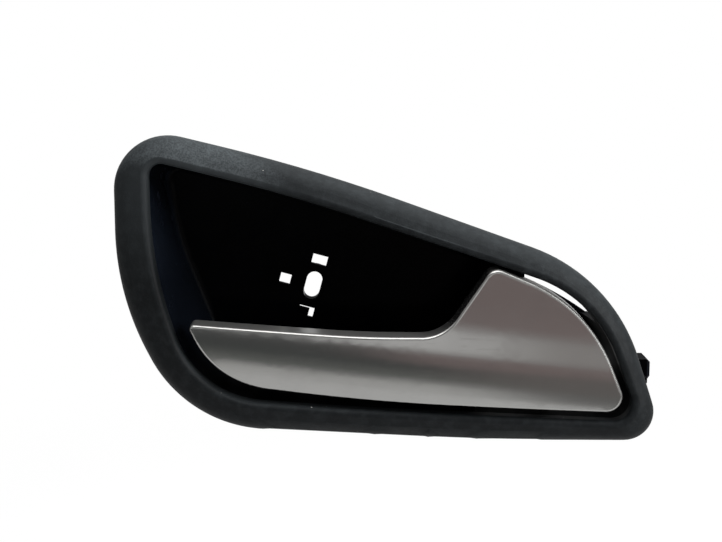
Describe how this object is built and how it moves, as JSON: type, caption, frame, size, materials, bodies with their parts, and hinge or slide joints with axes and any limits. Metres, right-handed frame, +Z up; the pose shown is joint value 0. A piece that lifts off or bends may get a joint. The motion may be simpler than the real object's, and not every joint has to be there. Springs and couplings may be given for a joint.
{
  "type": "car interior door handle",
  "caption": "Door handle for a car's interior: teardrop bezel, deep finger cup and a satin pull lever that swings out on an upright pin against a return spring.",
  "frame": {"origin": "on the axis of the fixing screw, on the rear seat of its boss", "axes": "+X to the right and +Z up as the handle is seen in the door, +Y into the door"},
  "size_m": [0.1917, 0.0448, 0.1079],
  "materials": {
    "bezel_plastic": "fine-grained moulded plastic, dusty",
    "cup_plastic": "smooth black moulded plastic",
    "cover_plating": "satin chrome plating on moulded plastic",
    "carrier_nylon": "glass-filled nylon",
    "pin_steel": "zinc-plated steel",
    "spring_steel": "drawn spring wire",
    "clip_steel": "stamped spring steel",
    "screw_steel": "black-zinc steel",
    "stop_rubber": "moulded rubber"
  },
  "bodies": {
    "housing": {"bezel": "bezel_plastic", "cup_housing": "cup_plastic", "pivot_pin": "pin_steel", "pin_retainer": "clip_steel", "return_spring": "spring_steel", "rest_stop": "stop_rubber", "open_stop": "stop_rubber", "bezel_screws": "screw_steel", "trim_clip_left": "clip_steel", "trim_clip_top": "clip_steel", "trim_clip_bottom_left": "clip_steel", "trim_clip_bottom_right": "clip_steel"},
    "lever": {"lever_cover": "cover_plating", "lever_carrier": "carrier_nylon", "cover_screws": "screw_steel"}
  },
  "joints": [
    {"name": "lever_pull", "type": "hinge", "parent": "housing", "child": "lever", "pos_m": [0.084, -0.0344, -0.02], "axis": [0, 0, 1], "range_deg": [0, 35], "stiffness_Nm_per_rad": 0.25, "springref_deg": -57.3, "deforming": ["return_spring"]}
  ]
}
